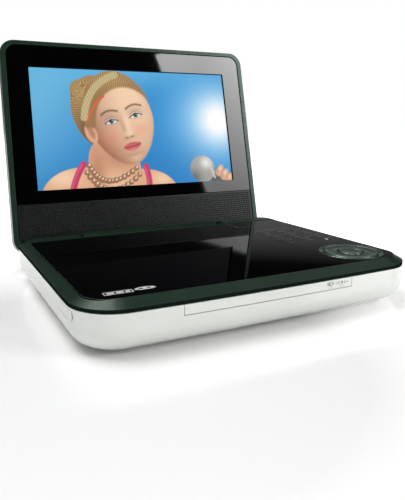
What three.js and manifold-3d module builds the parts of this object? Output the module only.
// A portable DVD player of the clamshell kind: a flat base with a top-loading disc well,
// a control strip and a round navigation pad, and a 7 inch screen half that stands open
// on a wide hinge barrel. Millimetres, +X to the viewer's right, +Y to the back, +Z up.
// While it is being built, Y = 0 is the front edge of the base and Z = 0 is the table.
import * as THREE from 'three';
import { mergeVertices } from 'three/addons/utils/BufferGeometryUtils.js';
import Module from 'manifold-3d';

const wasm = await Module();
wasm.setup();

// ---------------------------------------------------------------- driving dimensions
const GAP = 0.3;                 // clearance between pieces that touch

// base
const BASE_HALF_WIDTH = 96.2;
const BASE_DEPTH = 152;
const BASE_FRONT_CORNER = 23;    // plan radius of the base's front corners
const BASE_BACK_CORNER = 14;
const FRONT_BOW = 1.2;           // how far the middle of the front edge bows forward
const SHELL_BOTTOM = 2.0;
const SHELL_WALL = 2.0;
const SHELL_ROUNDING = 9;        // plan width of the rounded underside
const SHELL_ROUNDING_HEIGHT = 12;
const SEAM_Z = 20.5;             // where the white shell meets the green rim
const RIM_BAND_TOP = 22.3;
const RIM_CHAMFER = 6;
const DECK_Z = 25.3;
const STRIP_SPAN = [-50.2, 45.2];    // the inset strip in the front wall
const STRIP_BOTTOM = 15.5;
const STRIP_DEPTH = 1.2;
const STRIP_LIGHTS = [30.8, 38.6];
const STRIP_LIGHT_Z = 16.7;

// deck
const DECK_HALF_WIDTH = 91;
const DECK_FRONT = 7;
const DECK_BACK = 133.5;
const DECK_FRONT_CORNER = 13;
const DECK_BACK_CORNER = 3;
const DECK_CLEARANCE = 0.35;     // seam round the door and the panels
const PANEL_TOP = DECK_Z - 0.2;
const PANEL_THICKNESS = 2.8;
const DOOR_THICKNESS = 2.0;
const DOOR_SEAM_X = 49.3;
const CONTROL_SEAM_Y = 117;
const DOOR_PIVOT = { y: DECK_BACK - 2.5, z: PANEL_TOP - DOOR_THICKNESS / 2 };
const DOOR_PIN_RADIUS = 0.5;
const STANDBY_LIGHT = { x: 79.6, y: 59.6, radius: 0.9 };

// disc well and drive
const SPINDLE = { x: -21, y: 70.2 };
const WELL_RADIUS = 61.2;        // a 120 mm disc with 1.2 mm round it
const WELL_FLOOR = 18.5;
const TRAY_THICKNESS = 1.0;
const TRAY_TOP = 22.2;
const TURNTABLE_RADIUS = 16;
const HUB_RADIUS = 7.2;
const HUB_TOP = 22.8;
const CHASSIS_BOTTOM = 9.3;
const CHASSIS_TOP = 10.3;
const ROD_Z = 12.5;
const ROD_RADIUS = 1.5;
const ROD_Y = [SPINDLE.y - 15, SPINDLE.y + 15];
const ROD_SPAN = [-85, -36];
const SLED_SPAN = [-57, -40];
const LENS_X = -48.5;
const SCREW_Y = SPINDLE.y - 21.5;

// navigation pad and keys
const PAD = { x: 69.5, y: 26.8 };
const PAD_RECESS_RADIUS = 18;
const PAD_RING_OUTER = 14.7;
const PAD_RING_INNER = 7.6;
const PAD_FLOOR = PANEL_TOP - 3;
const OK_RADIUS = 6.6;
const KEY_COLUMNS = [56.5, 69, 81.5];
const KEY_ROWS = [92, 80, 68];
const KEY_WIDTH = 9.4;
const KEY_DEPTH = 5.6;

// side walls, feet and screws
const SIDE_SOCKET_Z = 13;
const AV_SOCKET_Y = 27.5;
const DC_INLET_Y = 43;
const HEADPHONE_Y = 57;
const PORT_COVER = { y: 27, z: 16.9, halfLength: 11, halfHeight: 2.2, depth: 1 };   // left wall
const POWER_SWITCH_Y = 76;
const VOLUME_WHEEL = { x: 89.4, y: 98 };
const VOLUME_WHEEL_RADIUS = 8;
const VOLUME_WHEEL_Z = 12.2;
const FOOT_PLACES = {
  front_left: [-76, 20],
  front_right: [76, 20],
  back_left: [-80, 122],
  back_right: [80, 122],
};
const FOOT_RADIUS = 6;
const BASE_SCREW_PLACES = { left: [-76, 140], right: [72, 140] };

// hinge
const HINGE_Y = 148.5;
const HINGE_Z = 13.2;
const BARREL_RADIUS = 12;
const BARREL_SPAN = [-54, 46];
const NOTCH_SPAN = [-57.5, 49.5];
const NOTCH_FRONT = 135.2;
const HINGE_PIN_RADIUS = 1.4;
const LID_TILT = THREE.MathUtils.degToRad(12.8);   // lean back from upright

// lid, in its own frame: hinge axis at the origin, upright, screen facing -Y
const LID_HALF_WIDTH = 95.7;
const LID_BOTTOM = 1.5;
const LID_TOP = 148.5;
const LID_CORNER = 10;
const LID_FACE = 13;             // the bezel's front lies this far behind the hinge axis
const LID_LIP = 0.5;             // the frame stands this proud of the bezel
const LID_SPLIT = 17;            // where the frame meets the back cover
const LID_BACK = 25.5;
const LID_WALL = 1.8;
const LID_ROUNDING = 5;
const BEZEL_HALF_WIDTH = 91.6;
const BEZEL_THICKNESS = 1.4;
const BEZEL_TOP = 145.1;
const GRILLE_TOP = 34.2;
const GRILLE_BOTTOM = 6;
const GRILLE_THICKNESS = 1.0;
const SCREEN_WIDTH = 154.1;      // active area of a 7 inch 16:9 panel
const SCREEN_HEIGHT = 86.7;
const SCREEN_BOTTOM = 43.5;
const SPEAKER_X = 72;
const SPEAKER_Z = 20;
const SPEAKER_RADIUS = 12;

// ---------------------------------------------------------------- finishes
const finish = (color, roughness, metalness) =>
  new THREE.MeshStandardMaterial({ color, roughness, metalness });
const WHITE_PLASTIC = finish(0xe9ebe6, 0.4, 0);
const GREEN_PAINT = finish(0x33483d, 0.35, 0.4);
const GLOSS_BLACK = finish(0x0a0a0b, 0.08, 0);
const MATTE_BLACK = finish(0x1c1d1e, 0.6, 0);
const SCREEN_GLASS = finish(0x2c5f93, 0.15, 0);
const PAD_METAL = finish(0x8a9a8c, 0.3, 0.7);
const STEEL = finish(0xb4b6b8, 0.35, 1);
const BOARD_GREEN = finish(0x1f5a34, 0.6, 0);
const RUBBER_BLACK = finish(0x222222, 0.85, 0);
const LIGHT_LENS = finish(0xd8e4d8, 0.2, 0);
const BATTERY_WRAP = finish(0x2a4f8f, 0.45, 0);

// ---------------------------------------------------------------- solids and booleans
function toSolid(geometry) {
  const bare = geometry.index ? geometry.toNonIndexed() : geometry.clone();
  bare.deleteAttribute('normal');
  bare.deleteAttribute('uv');
  const merged = mergeVertices(bare, 1e-4);
  return new wasm.Manifold(new wasm.Mesh({
    numProp: 3,
    vertProperties: new Float32Array(merged.attributes.position.array),
    triVerts: new Uint32Array(merged.index.array),
  }));
}

function toGeometry(solid) {
  const mesh = solid.getMesh();
  const geometry = new THREE.BufferGeometry();
  geometry.setAttribute('position', new THREE.BufferAttribute(new Float32Array(mesh.vertProperties), 3));
  geometry.setIndex(new THREE.BufferAttribute(new Uint32Array(mesh.triVerts), 1));
  geometry.computeVertexNormals();
  return geometry;
}

const join = (first, ...others) => others.reduce((sum, other) => sum.add(other), first);
const cut = (first, ...others) => others.reduce((rest, other) => rest.subtract(other), first);

function block(low, high) {
  const size = high.map((value, i) => value - low[i]);
  const geometry = new THREE.BoxGeometry(size[0], size[1], size[2]);
  geometry.translate((low[0] + high[0]) / 2, (low[1] + high[1]) / 2, (low[2] + high[2]) / 2);
  return toSolid(geometry);
}

// A round bar from one value to another along the named axis, through the point at.
function bar(axis, radius, from, to, at, sides = 24) {
  const geometry = new THREE.CylinderGeometry(radius, radius, to - from, sides);
  geometry.translate(0, (from + to) / 2, 0);
  if (axis === 'x') geometry.rotateZ(-Math.PI / 2);
  if (axis === 'z') geometry.rotateX(Math.PI / 2);
  geometry.translate(at.x ?? 0, at.y ?? 0, at.z ?? 0);
  return toSolid(geometry);
}

// A body of revolution about a vertical axis, from a closed profile of [radius, height]
// points that runs anticlockwise.
function turned(profile, at, sides = 32) {
  const points = [...profile, profile[0]].map(([radius, height]) => new THREE.Vector2(radius, height));
  const geometry = new THREE.LatheGeometry(points, sides);
  geometry.rotateX(Math.PI / 2);
  geometry.translate(at.x, at.y, 0);
  return toSolid(geometry);
}

// A rounded rectangle. The low-Y corners and the high-Y corners may have different radii,
// and the low-Y side may bow outward in a shallow curve.
function roundedOutline(left, right, low, high, lowRadius, highRadius = lowRadius, bow = 0) {
  const outline = new THREE.Shape();
  outline.moveTo(left + lowRadius, low);
  if (bow > 0) outline.quadraticCurveTo((left + right) / 2, low - 2 * bow, right - lowRadius, low);
  outline.absarc(right - lowRadius, low + lowRadius, lowRadius, -Math.PI / 2, 0);
  outline.absarc(right - highRadius, high - highRadius, highRadius, 0, Math.PI / 2);
  outline.absarc(left + highRadius, high - highRadius, highRadius, Math.PI / 2, Math.PI);
  outline.absarc(left + lowRadius, low + lowRadius, lowRadius, Math.PI, 1.5 * Math.PI);
  return outline;
}

// A plate lying flat, with the outline's shape, between two heights.
function plate(outline, bottom, top, curveSegments = 6) {
  const geometry = new THREE.ExtrudeGeometry(outline, {
    depth: top - bottom, bevelEnabled: false, curveSegments,
  });
  geometry.translate(0, 0, bottom);
  return toSolid(geometry);
}

// The geometry of a plate whose two edges are rounded, or chamfered when it has one
// segment. The outline is the flat face's, and the rounding grows outward from it.
function roundedPlateGeometry(outline, bottom, top, rounding, roundingHeight, segments) {
  const geometry = new THREE.ExtrudeGeometry(outline, {
    depth: top - bottom - 2 * roundingHeight, bevelEnabled: true, bevelSize: rounding,
    bevelThickness: roundingHeight, bevelSegments: segments, curveSegments: 6,
  });
  geometry.translate(0, 0, bottom + roundingHeight);
  return geometry;
}

// A plate standing up in the lid's frame: the outline's Y runs up the lid, and the plate's
// thickness runs from front to back behind the hinge axis.
function lidPlate(outline, front, back, curveSegments = 6) {
  const settings = { depth: back - front, bevelEnabled: false, curveSegments };
  const geometry = new THREE.ExtrudeGeometry(outline, settings);
  geometry.translate(0, 0, -back);
  geometry.rotateX(Math.PI / 2);
  return toSolid(geometry);
}

const player = new THREE.Group();
const lid = new THREE.Group();
lid.position.set(0, HINGE_Y, HINGE_Z);
lid.rotation.x = -LID_TILT;
player.add(lid);

function addPiece(parent, name, solid, material) {
  const mesh = new THREE.Mesh(toGeometry(solid), material);
  mesh.name = name;
  parent.add(mesh);
}

// ---------------------------------------------------------------- base: case
const FAR = 400;                 // beyond the object on every side

function baseOutline(inset) {
  return roundedOutline(-BASE_HALF_WIDTH + inset, BASE_HALF_WIDTH - inset, inset, BASE_DEPTH - inset,
    BASE_FRONT_CORNER - inset, BASE_BACK_CORNER - inset, FRONT_BOW);
}

// The white shell's outer form, pulled in by inset on every side, with an open-ended top.
function shellForm(inset, roundingHeight, segments) {
  return toSolid(roundedPlateGeometry(baseOutline(SHELL_ROUNDING + inset), SHELL_BOTTOM + inset, 3 * DECK_Z,
    SHELL_ROUNDING, roundingHeight, segments));
}

const shellBlank = cut(
  shellForm(0, SHELL_ROUNDING_HEIGHT, 5),
  block([-FAR, -FAR, SEAM_Z - GAP / 2], [FAR, FAR, FAR]),
);

// The open space in the back of the base that the hinge barrel turns in.
const notch = (margin) => block(
  [NOTCH_SPAN[0] - margin, NOTCH_FRONT - margin, -FAR],
  [NOTCH_SPAN[1] + margin, FAR, FAR],
);

// What lies within depth of the front wall's outer face, where the inset strip sits.
function stripRoom(margin) {
  const room = block([STRIP_SPAN[0] - margin, -FAR, STRIP_BOTTOM - margin],
    [STRIP_SPAN[1] + margin, BASE_FRONT_CORNER, FAR]);
  return cut(room, shellForm(STRIP_DEPTH + margin, SHELL_ROUNDING_HEIGHT, 5));
}

// The slim cover in the left wall, an upright plate with round ends, grown by margin.
function coverPlate(margin) {
  const { y, z, halfLength, halfHeight, depth } = PORT_COVER;
  const radius = halfHeight + margin;
  const wall = [-BASE_HALF_WIDTH - margin, -BASE_HALF_WIDTH + depth + margin];
  const middle = block(
    [wall[0], y - halfLength + halfHeight, z - radius],
    [wall[1], y + halfLength - halfHeight, z + radius],
  );
  const ends = [-1, 1].map((end) =>
    bar('x', radius, wall[0], wall[1], { y: y + end * (halfLength - halfHeight), z }));
  return join(middle, ...ends);
}

const footPlan = ([x, y]) => ({ x, y });

function bottomShell() {
  const cavity = cut(
    shellForm(SHELL_WALL, SHELL_ROUNDING_HEIGHT - 1, 4),
    notch(SHELL_WALL),
    ...Object.values(BASE_SCREW_PLACES).map(([x, y]) => bar('z', 4.6, 0, 9, { x, y }, 20)),
    block([STRIP_SPAN[0] - 2, -FAR, STRIP_BOTTOM - 2], [STRIP_SPAN[1] + 2, STRIP_DEPTH + 2, FAR]),
  );
  const footPockets = Object.values(FOOT_PLACES).map((place) => bar('z', FOOT_RADIUS + GAP, 0,
    SHELL_BOTTOM + 1, footPlan(place)));
  const screwHoles = Object.values(BASE_SCREW_PLACES).map(([x, y]) => join(
    bar('z', 3.3, 0, 6, { x, y }, 20),
    bar('z', 1.8, 0, 30, { x, y }, 16),
  ));
  const sideHoles = [
    bar('x', 3.4, 80, FAR, { y: AV_SOCKET_Y, z: SIDE_SOCKET_Z }),
    bar('x', 3.4, 80, FAR, { y: HEADPHONE_Y, z: SIDE_SOCKET_Z }),
    bar('x', 3.9, 80, FAR, { y: DC_INLET_Y, z: SIDE_SOCKET_Z }),
    block([85, POWER_SWITCH_Y - 6, 11], [FAR, POWER_SWITCH_Y + 4, 14.5]),
    block([85, VOLUME_WHEEL.y - 7.2, 10.4], [FAR, VOLUME_WHEEL.y + 7.2, 14]),
  ];
  const pinHole = bar('x', HINGE_PIN_RADIUS + 0.4, NOTCH_SPAN[0] - 5, NOTCH_SPAN[1] + 5,
    { y: HINGE_Y, z: HINGE_Z }, 20);
  const bracketRoom = [NOTCH_SPAN[0] - 9, NOTCH_SPAN[1] + 2].map((x) => block(
    [x, HINGE_Y - 4, HINGE_Z - 3], [x + 7, HINGE_Y + 2.7, HINGE_Z + 3]));
  return cut(shellBlank, cavity, notch(0), stripRoom(GAP / 2), coverPlate(GAP / 2),
    ...footPockets, ...screwHoles, ...sideHoles,
    pinHole, ...bracketRoom);
}

function deckRim() {
  const form = toSolid(roundedPlateGeometry(baseOutline(RIM_CHAMFER), -DECK_Z, DECK_Z, RIM_CHAMFER,
    DECK_Z - RIM_BAND_TOP, 1));
  const belowSeam = block([-FAR, -FAR, -FAR], [FAR, FAR, SEAM_Z + GAP / 2]);
  const doorPinHole = bar('x', DOOR_PIN_RADIUS + 0.2, -DECK_HALF_WIDTH - 2.2, 0, DOOR_PIVOT, 16);
  return cut(form, belowSeam, deckPlate(0, 0, FAR), notch(0), doorPinHole);
}

function frontStrip() {
  const lightHoles = STRIP_LIGHTS.map((x) => block([x - 1.15, -FAR, STRIP_LIGHT_Z - 0.45],
    [x + 1.15, BASE_FRONT_CORNER, STRIP_LIGHT_Z + 0.45]));
  return cut(shellBlank.intersect(stripRoom(-GAP / 2)), ...lightHoles);
}

// A short light guide that fills its window in the strip, flush with the bowed wall.
function stripLight(x) {
  const window = block([x - 1, -FAR, STRIP_LIGHT_Z - 0.3], [x + 1, BASE_FRONT_CORNER, STRIP_LIGHT_Z + 0.3]);
  return shellBlank.intersect(stripRoom(-GAP / 2)).intersect(window);
}

function rubberFoot(place) {
  const top = SHELL_BOTTOM + 1 - GAP;
  return turned([[0, 0], [FOOT_RADIUS - 0.8, 0], [FOOT_RADIUS, 0.8], [FOOT_RADIUS, top], [0, top]],
    footPlan(place), 16);
}

function baseScrew([x, y]) {
  const head = turned([[0, 3.2], [2.9, 3.2], [2.9, 4.6], [1.4, 5.7], [1.4, 16], [0, 16]], { x, y }, 20);
  const cross = join(block([x - 1.7, y - 0.35, 0], [x + 1.7, y + 0.35, 4.2]),
    block([x - 0.35, y - 1.7, 0], [x + 0.35, y + 1.7, 4.2]));
  return cut(head, cross);
}

// ---------------------------------------------------------------- base: deck
function deckPlate(inset, bottom, top) {
  return plate(roundedOutline(-DECK_HALF_WIDTH + inset, DECK_HALF_WIDTH - inset, DECK_FRONT + inset,
    DECK_BACK - inset, DECK_FRONT_CORNER - inset, DECK_BACK_CORNER - inset, FRONT_BOW), bottom, top);
}

function controlSide(fromY, toY) {
  const room = block([DOOR_SEAM_X + DECK_CLEARANCE / 2, fromY, 0], [FAR, toY, FAR]);
  return deckPlate(DECK_CLEARANCE, PANEL_TOP - PANEL_THICKNESS, PANEL_TOP).intersect(room);
}

const keys = KEY_ROWS.flatMap((y, row) => KEY_COLUMNS.map((x, column) => ({
  x, y, name: `key_row_${row + 1}_column_${column + 1}`,
})));

function keyPlan(x, y, margin) {
  const halfWidth = KEY_WIDTH / 2 + margin;
  const halfDepth = KEY_DEPTH / 2 + margin;
  return roundedOutline(x - halfWidth, x + halfWidth, y - halfDepth, y + halfDepth, 1.2);
}

function controlPanel() {
  const keyHoles = keys.map(({ x, y }) => plate(keyPlan(x, y, 0.25), 0, FAR, 2));
  const padHole = bar('z', PAD_RECESS_RADIUS + 0.15, 0, FAR, PAD, 48);
  const lightHole = bar('z', STANDBY_LIGHT.radius + 0.15, 0, FAR, STANDBY_LIGHT, 16);
  return cut(controlSide(0, CONTROL_SEAM_Y), padHole, lightHole, ...keyHoles);
}

function rearDeckPanel() {
  const doorPinHole = bar('x', DOOR_PIN_RADIUS + 0.2, DOOR_SEAM_X - 1, DOOR_SEAM_X + 2.2, DOOR_PIVOT, 16);
  return cut(controlSide(CONTROL_SEAM_Y + DECK_CLEARANCE, FAR), doorPinHole);
}

function keyCap({ x, y }) {
  const under = PANEL_TOP - PANEL_THICKNESS - GAP;
  const flange = block([x - KEY_WIDTH / 2 - 0.8, y - KEY_DEPTH / 2 - 0.8, under - 1],
    [x + KEY_WIDTH / 2 + 0.8, y + KEY_DEPTH / 2 + 0.8, under]);
  return join(plate(keyPlan(x, y, 0), under - 0.5, PANEL_TOP + 0.05, 2), flange);
}

const standbyLight = () => bar('z', STANDBY_LIGHT.radius, PANEL_TOP - PANEL_THICKNESS, PANEL_TOP + 0.1,
  STANDBY_LIGHT, 16);

// The door carries its two hinge pins and the hook that snaps behind the catch.
function discDoor() {
  const room = block([-FAR, -FAR, 0], [DOOR_SEAM_X - DECK_CLEARANCE / 2, FAR, FAR]);
  const leaf = deckPlate(DECK_CLEARANCE, PANEL_TOP - DOOR_THICKNESS, PANEL_TOP).intersect(room);
  const pins = bar('x', DOOR_PIN_RADIUS, -DECK_HALF_WIDTH - 1.2, DOOR_SEAM_X + 1.2, DOOR_PIVOT, 12);
  const hook = join(
    block([SPINDLE.x - 4, 8.0, 19.8], [SPINDLE.x + 4, 9.0, PANEL_TOP - 1]),
    block([SPINDLE.x - 4, 8.0, 19.8], [SPINDLE.x + 4, 9.6, 20.6]),
  );
  return join(leaf, pins, hook);
}

function doorCatch() {
  return join(
    block([SPINDLE.x - 5, 4.4, 18.6], [SPINDLE.x + 5, 7.2, 19.4]),
    block([SPINDLE.x - 5, 6.6, 18.6], [SPINDLE.x + 5, 7.2, 22.8]),
  );
}

function discTray() {
  const body = plate(roundedOutline(-DECK_HALF_WIDTH + 1, DOOR_SEAM_X - 0.6,
    DECK_FRONT + 0.8, DOOR_PIVOT.y - 2.1,
    DECK_FRONT_CORNER - 1, DECK_BACK_CORNER - 1), WELL_FLOOR - TRAY_THICKNESS, TRAY_TOP, 4);
  const well = bar('z', WELL_RADIUS, WELL_FLOOR, FAR, SPINDLE, 60);
  const hubHole = bar('z', TURNTABLE_RADIUS + 0.8, 0, FAR, SPINDLE, 40);
  const sledWindow = block([-80, SPINDLE.y - 9, 0], [SPINDLE.x, SPINDLE.y + 9, FAR])
    .intersect(bar('z', WELL_RADIUS - 3, 0, FAR, SPINDLE, 40));
  const hookRoom = block([SPINDLE.x - 6, 0, 0], [SPINDLE.x + 6, 11, FAR]);
  return cut(body, well, hubHole, sledWindow, hookRoom);
}

// ---------------------------------------------------------------- base: navigation pad
const padTrim = () => turned([
  [15.2, PANEL_TOP - 2.4], [PAD_RECESS_RADIUS, PANEL_TOP - 2.4], [PAD_RECESS_RADIUS, PANEL_TOP + 0.15],
  [17.3, PANEL_TOP + 0.2], [16.4, PANEL_TOP - 0.25], [15.2, PANEL_TOP - 1.0],
], PAD);

const navRing = () => turned([
  [PAD_RING_INNER, PAD_FLOOR], [PAD_RING_OUTER, PAD_FLOOR], [PAD_RING_OUTER, PANEL_TOP - 0.3],
  [14.2, PANEL_TOP + 0.15], [11.2, PANEL_TOP - 0.1],
  [8.4, PANEL_TOP + 0.1], [PAD_RING_INNER, PANEL_TOP - 0.2],
], PAD);

const okButton = () => turned([
  [0, PAD_FLOOR], [OK_RADIUS, PAD_FLOOR], [OK_RADIUS, PANEL_TOP - 0.1],
  [6.1, PANEL_TOP + 0.3], [3.4, PANEL_TOP + 0.15], [0, PANEL_TOP + 0.05],
], PAD, 28);

// ---------------------------------------------------------------- base: inside
function mainBoard() {
  const board = plate(roundedOutline(-84, 46, 13, 130, 3), 5.4, 7.0, 3);
  return join(board,
    block([-12, 102, 6.9], [12, 126, 8.9]),
    block([-60, 104, 6.9], [-46, 118, 8.5]),
    block([24, 20, 6.9], [40, 32, 8.7]),
    block([24, 44, 6.9], [36, 68, 8.5]));
}

function keyBoard() {
  const board = plate(roundedOutline(DOOR_SEAM_X + 1.5, DECK_HALF_WIDTH - 1, 11, 112, 3), 17.6, 19.0, 3);
  const keyDomes = keys.map(({ x, y }) => bar('z', 2.2, 18.9, 19.9, { x, y }, 8));
  const padDomes = [0, 1, 2, 3].map((quarter) => bar('z', 2.2, 18.9, 20.6, {
    x: PAD.x + 11 * Math.cos(quarter * Math.PI / 2), y: PAD.y + 11 * Math.sin(quarter * Math.PI / 2),
  }, 8));
  return join(board, ...keyDomes, ...padDomes, bar('z', 2.2, 18.9, 20.6, PAD, 8));
}

const batteryPack = () => plate(roundedOutline(52, 80, 14, 116, 4), 4.6, 15.6, 4);

function driveChassis() {
  const deckOutline = roundedOutline(-88, 6, SPINDLE.y - 27, SPINDLE.y + 27, 4);
  const deck = plate(deckOutline, CHASSIS_BOTTOM, CHASSIS_TOP, 4);
  const sledWindow = block([-83, SPINDLE.y - 11, 0], [-37, SPINDLE.y + 11, FAR]);
  const rodPosts = ROD_Y.flatMap((y) => ROD_SPAN.map((x) => block([x - 1.5, y - 3, CHASSIS_TOP - 0.5],
    [x + 1.5, y + 3, ROD_Z + 3])));
  const screwPost = block([-86.5, SCREW_Y - 2.6, CHASSIS_TOP - 0.5], [-83.5, SCREW_Y + 2.6, ROD_Z + 3]);
  const rodBores = ROD_Y.map((y) => bar('x', ROD_RADIUS + 0.15, -88, -33, { y, z: ROD_Z }, 16));
  const screwBore = bar('x', 1.3, -88, -80, { y: SCREW_Y, z: ROD_Z }, 16);
  return cut(join(deck, ...rodPosts, screwPost), sledWindow, ...rodBores, screwBore);
}

const guideRod = (y) => bar('x', ROD_RADIUS, ROD_SPAN[0] - 2, ROD_SPAN[1] + 2, { y, z: ROD_Z }, 20);

const spindleMotor = () => turned([
  [2.2, CHASSIS_TOP + GAP], [12, CHASSIS_TOP + GAP], [12, 16.2], [10.5, 17.2], [2.2, 17.2],
], SPINDLE, 24);

// Motor shaft, turntable and centring hub turn as one piece.
const spindleHub = () => turned([
  [0, 12], [1.9, 12], [1.9, 17.6], [TURNTABLE_RADIUS, 18.9], [TURNTABLE_RADIUS, 20],
  [HUB_RADIUS + 0.6, 20], [HUB_RADIUS + 0.6, 19.6], [HUB_RADIUS, 19.6], [HUB_RADIUS, 21.6],
  [5.6, HUB_TOP], [2.4, HUB_TOP], [2.0, HUB_TOP - 0.8], [0, HUB_TOP - 0.8],
], SPINDLE, 28);

function laserSled() {
  const bodyOutline = roundedOutline(SLED_SPAN[0], SLED_SPAN[1], ROD_Y[0] - 3.4, ROD_Y[1] + 3.4, 1.5);
  const body = plate(bodyOutline, 10.7, 15.2, 3);
  const bores = ROD_Y.map((y) => bar('x', ROD_RADIUS + 0.1, -FAR, 0, { y, z: ROD_Z }, 20));
  const lensMount = block([LENS_X - 6.5, SPINDLE.y - 7, 15.1], [LENS_X + 6.5, SPINDLE.y + 7, 16.8]);
  const lens = bar('z', 2.8, 16.7, 17.9, { x: LENS_X, y: SPINDLE.y }, 20);
  return cut(join(body, lensMount, lens), ...bores);
}

const leadScrew = () => join(
  bar('x', 1.0, -86.2, -33.4, { y: SCREW_Y, z: ROD_Z }, 16),
  bar('x', 1.8, -82, -38, { y: SCREW_Y, z: ROD_Z }, 16),
);

const sledMotor = () => bar('x', 3.2, -33, -20, { y: SCREW_Y, z: 13.8 });

// A socket in the right wall: a square body behind the wall and a round nose in its hole.
function socket(y, noseRadius, boreRadius, pinRadius) {
  const at = { y, z: SIDE_SOCKET_Z };
  const body = block([84, y - 5, SIDE_SOCKET_Z - 3.9], [92.6, y + 5, SIDE_SOCKET_Z + 3.9]);
  const nose = bar('x', noseRadius, 92, BASE_HALF_WIDTH - 0.5, at);
  const hollow = cut(join(body, nose), bar('x', boreRadius, 85.5, FAR, at));
  return pinRadius ? join(hollow, bar('x', pinRadius, 85, BASE_HALF_WIDTH - 2, at, 12)) : hollow;
}

function powerSwitch() {
  const y = POWER_SWITCH_Y;
  return join(
    block([91.5, y - 9, 10.6], [93.4, y + 5, 14.9]),
    block([93.3, y - 5.6, 11.3], [BASE_HALF_WIDTH + 1.2, y + 0.6, 14.2]),
  );
}

const volumeWheel = () => turned([
  [0, 8], [1.6, 8], [1.6, VOLUME_WHEEL_Z - 1.3], [VOLUME_WHEEL_RADIUS - 0.4, VOLUME_WHEEL_Z - 1.3],
  [VOLUME_WHEEL_RADIUS, VOLUME_WHEEL_Z - 0.9], [VOLUME_WHEEL_RADIUS, VOLUME_WHEEL_Z + 0.9],
  [VOLUME_WHEEL_RADIUS - 0.4, VOLUME_WHEEL_Z + 1.3], [0, VOLUME_WHEEL_Z + 1.3],
], VOLUME_WHEEL, 24);

// A steel leaf in the base holds each hinge pin in its eye; the pins turn with the barrel.
function hingeBracket(side) {
  const wall = side < 0 ? NOTCH_SPAN[0] - SHELL_WALL - 0.5 : NOTCH_SPAN[1] + SHELL_WALL + 0.5;
  const low = Math.min(wall, wall + side * 5);
  const high = Math.max(wall, wall + side * 5);
  const eye = bar('x', 2.3, low, high, { y: HINGE_Y, z: HINGE_Z }, 20);
  const arm = block([low, HINGE_Y - 12, HINGE_Z - 1], [high, HINGE_Y - 1.6, HINGE_Z + 1]);
  const foot = block([low, HINGE_Y - 13, SHELL_BOTTOM + SHELL_WALL + 4], [high, HINGE_Y - 11, HINGE_Z + 1]);
  const pinHole = bar('x', HINGE_PIN_RADIUS + 0.06, -FAR, FAR, { y: HINGE_Y, z: HINGE_Z }, 20);
  return cut(join(eye, arm, foot), pinHole);
}

// ---------------------------------------------------------------- lid
function lidOutline(inset) {
  return roundedOutline(-LID_HALF_WIDTH + inset, LID_HALF_WIDTH - inset, LID_BOTTOM + inset, LID_TOP - inset,
    LID_CORNER - inset);
}

function lidFrame() {
  const opening = roundedOutline(-BEZEL_HALF_WIDTH - 0.5, BEZEL_HALF_WIDTH + 0.5, GRILLE_BOTTOM - 0.5,
    BEZEL_TOP + 0.5, 6.5, 7.5);
  return cut(lidPlate(lidOutline(0), LID_FACE - LID_LIP, LID_SPLIT), lidPlate(opening, 0, FAR));
}

// The cover's form, with its back edges rounded and its front left long.
function coverForm(inset) {
  const geometry = roundedPlateGeometry(lidOutline(LID_ROUNDING + inset), -LID_BACK + inset, 0, LID_ROUNDING,
    LID_ROUNDING, 4);
  geometry.rotateX(Math.PI / 2);
  return toSolid(geometry);
}

function lidBackCover() {
  const aheadOfSplit = block([-FAR, -FAR, -FAR], [FAR, LID_SPLIT + GAP, FAR]);
  return cut(coverForm(0), coverForm(LID_WALL), aheadOfSplit);
}

function screenBezel() {
  const sheet = roundedOutline(-BEZEL_HALF_WIDTH, BEZEL_HALF_WIDTH, GRILLE_TOP + 0.4, BEZEL_TOP, 0.6, 7);
  const halfWindow = SCREEN_WIDTH / 2 + 0.3;
  const window = block([-halfWindow, 0, SCREEN_BOTTOM - 0.3],
    [halfWindow, FAR, SCREEN_BOTTOM + SCREEN_HEIGHT + 0.3]);
  return cut(lidPlate(sheet, LID_FACE, LID_FACE + BEZEL_THICKNESS), window);
}

const speakerGrille = () => lidPlate(
  roundedOutline(-BEZEL_HALF_WIDTH, BEZEL_HALF_WIDTH, GRILLE_BOTTOM, GRILLE_TOP, 6, 0.6),
  LID_FACE + 0.1, LID_FACE + 0.1 + GRILLE_THICKNESS,
);

// A flat box centred behind the screen, reaching past its active area by margin.
function behindScreen(margin, front, back) {
  return block([-SCREEN_WIDTH / 2 - margin, front, SCREEN_BOTTOM - margin],
    [SCREEN_WIDTH / 2 + margin, back, SCREEN_BOTTOM + SCREEN_HEIGHT + margin]);
}

function lcdBoard() {
  return join(
    block([-60, 19.4, 46], [60, 20.6, 74]),
    block([-30, 20.5, 50], [-18, 21.9, 62]),
    block([14, 20.5, 54], [34, 22.1, 60]),
  );
}

const speaker = (side) => join(
  bar('y', SPEAKER_RADIUS, 14.4, 17.4, { x: side * SPEAKER_X, z: SPEAKER_Z }, 28),
  bar('y', SPEAKER_RADIUS - 3, 17.3, 21.6, { x: side * SPEAKER_X, z: SPEAKER_Z }, 28),
);

// The barrel, with the saddle that carries the lid's frame behind it.
function hingeBarrel() {
  const barrel = bar('x', BARREL_RADIUS, BARREL_SPAN[0], BARREL_SPAN[1], {}, 48);
  const saddle = block([BARREL_SPAN[0] + 2, 0, -5], [BARREL_SPAN[1] - 2, LID_FACE - LID_LIP - GAP, 9]);
  const pinBore = (from, to) => bar('x', HINGE_PIN_RADIUS + GAP, from, to, {}, 20);
  return cut(join(barrel, saddle), pinBore(-FAR, BARREL_SPAN[0] + 8), pinBore(BARREL_SPAN[1] - 8, FAR));
}

const hingePin = (from, to) => bar('x', HINGE_PIN_RADIUS, from, to, {}, 20);

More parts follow.
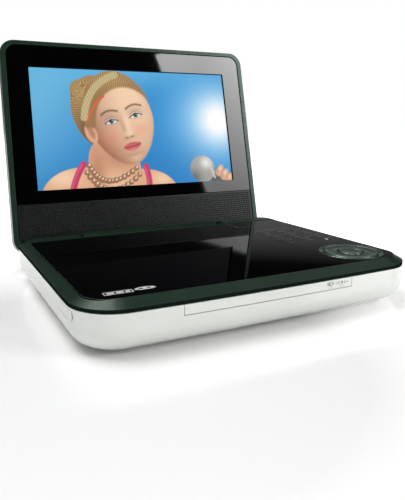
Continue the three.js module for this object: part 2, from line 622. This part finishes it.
// ---------------------------------------------------------------- the assembly
addPiece(player, 'bottom_shell', bottomShell(), WHITE_PLASTIC);
addPiece(player, 'deck_rim', deckRim(), GREEN_PAINT);
addPiece(player, 'front_strip', frontStrip(), WHITE_PLASTIC);
addPiece(player, 'port_cover', coverPlate(0), WHITE_PLASTIC);
addPiece(player, 'charge_light', stripLight(STRIP_LIGHTS[0]), LIGHT_LENS);
addPiece(player, 'power_light', stripLight(STRIP_LIGHTS[1]), LIGHT_LENS);
for (const [corner, place] of Object.entries(FOOT_PLACES)) {
  addPiece(player, `rubber_foot_${corner}`, rubberFoot(place), RUBBER_BLACK);
}
for (const [side, place] of Object.entries(BASE_SCREW_PLACES)) {
  addPiece(player, `base_screw_${side}`, baseScrew(place), STEEL);
}

addPiece(player, 'control_panel', controlPanel(), GLOSS_BLACK);
addPiece(player, 'rear_deck_panel', rearDeckPanel(), GLOSS_BLACK);
addPiece(player, 'standby_light', standbyLight(), LIGHT_LENS);
for (const key of keys) addPiece(player, key.name, keyCap(key), GLOSS_BLACK);
addPiece(player, 'pad_trim_ring', padTrim(), PAD_METAL);
addPiece(player, 'navigation_ring', navRing(), PAD_METAL);
addPiece(player, 'ok_button', okButton(), PAD_METAL);
addPiece(player, 'disc_door', discDoor(), GLOSS_BLACK);
addPiece(player, 'door_catch', doorCatch(), STEEL);
addPiece(player, 'disc_tray', discTray(), MATTE_BLACK);

addPiece(player, 'main_board', mainBoard(), BOARD_GREEN);
addPiece(player, 'key_board', keyBoard(), BOARD_GREEN);
addPiece(player, 'battery_pack', batteryPack(), BATTERY_WRAP);
addPiece(player, 'drive_chassis', driveChassis(), STEEL);
addPiece(player, 'guide_rod_front', guideRod(ROD_Y[0]), STEEL);
addPiece(player, 'guide_rod_back', guideRod(ROD_Y[1]), STEEL);
addPiece(player, 'spindle_motor', spindleMotor(), STEEL);
addPiece(player, 'spindle_hub', spindleHub(), MATTE_BLACK);
addPiece(player, 'laser_sled', laserSled(), MATTE_BLACK);
addPiece(player, 'lead_screw', leadScrew(), STEEL);
addPiece(player, 'sled_motor', sledMotor(), STEEL);
addPiece(player, 'headphone_socket', socket(HEADPHONE_Y, 3.1, 1.8), MATTE_BLACK);
addPiece(player, 'av_socket', socket(AV_SOCKET_Y, 3.1, 1.8), MATTE_BLACK);
addPiece(player, 'dc_inlet', socket(DC_INLET_Y, 3.6, 2.8, 0.85), MATTE_BLACK);
addPiece(player, 'power_switch', powerSwitch(), MATTE_BLACK);
addPiece(player, 'volume_wheel', volumeWheel(), MATTE_BLACK);
addPiece(player, 'hinge_bracket_left', hingeBracket(-1), STEEL);
addPiece(player, 'hinge_bracket_right', hingeBracket(1), STEEL);

addPiece(lid, 'lid_frame', lidFrame(), GREEN_PAINT);
addPiece(lid, 'lid_back_cover', lidBackCover(), GREEN_PAINT);
addPiece(lid, 'screen_bezel', screenBezel(), GLOSS_BLACK);
addPiece(lid, 'speaker_grille', speakerGrille(), GREEN_PAINT);
addPiece(lid, 'lcd_panel', behindScreen(2.4, 14.7, 16.2), SCREEN_GLASS);
addPiece(lid, 'backlight_unit', behindScreen(4.5, 16.5, 19.1), WHITE_PLASTIC);
addPiece(lid, 'lcd_board', lcdBoard(), BOARD_GREEN);
addPiece(lid, 'speaker_left', speaker(-1), MATTE_BLACK);
addPiece(lid, 'speaker_right', speaker(1), MATTE_BLACK);
addPiece(lid, 'hinge_barrel', hingeBarrel(), GREEN_PAINT);
addPiece(lid, 'hinge_pin_left', hingePin(NOTCH_SPAN[0] - SHELL_WALL - 5, BARREL_SPAN[0] + 7), STEEL);
addPiece(lid, 'hinge_pin_right', hingePin(BARREL_SPAN[1] - 7, NOTCH_SPAN[1] + SHELL_WALL + 5), STEEL);

// The origin is the middle of the whole object's footprint, on the table.
const bounds = new THREE.Box3().setFromObject(player, true);
const middle = bounds.getCenter(new THREE.Vector3());
player.position.set(-middle.x, -middle.y, -bounds.min.z);

export default player;
